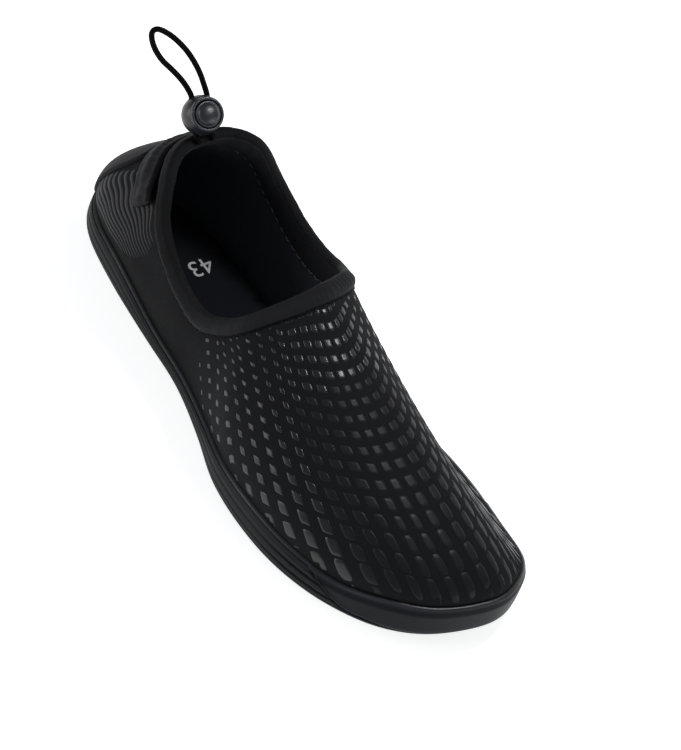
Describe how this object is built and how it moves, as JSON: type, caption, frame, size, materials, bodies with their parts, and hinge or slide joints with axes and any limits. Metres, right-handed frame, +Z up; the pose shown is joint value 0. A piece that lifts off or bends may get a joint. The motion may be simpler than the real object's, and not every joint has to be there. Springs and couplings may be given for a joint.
{
  "type": "water shoe",
  "caption": "Slip-on water shoe with a stretch upper on a low rubber cup sole, a bound open collar, a removable insole and a draw cord with a push-button cord lock at the heel.",
  "frame": {"origin": "on the floor under the middle of the sole's length and width", "axes": "+Z up from the floor, -Y towards the toe, +X towards the inner side of the foot"},
  "size_m": [0.1042, 0.2827, 0.1199],
  "materials": {
    "rubber": "moulded rubber with a soft sheen",
    "foam": "matt fabric-covered foam",
    "stretch_fabric": "smooth stretch cloth with a raised printed film",
    "binding_fabric": "soft matt stretch cloth",
    "lock_plastic": "moulded plastic with a soft sheen",
    "elastic_cord": "round braided elastic cord"
  },
  "bodies": {
    "shoe": {"outsole": "rubber", "insole": "foam", "upper": "stretch_fabric", "collar_binding": "binding_fabric", "heel_counter": "binding_fabric", "cord_tunnel": "binding_fabric", "toggle_body": "lock_plastic", "cord_loop": "elastic_cord", "cord_lead_lateral": "elastic_cord", "cord_lead_medial": "elastic_cord"},
    "button": {"toggle_button": "lock_plastic"}
  },
  "joints": [
    {"name": "button_press", "type": "slide", "parent": "shoe", "child": "button", "axis": [0.1446, 0.6263, -0.766], "range_m": [0, 0.0025], "stiffness_N_per_m": 800}
  ]
}
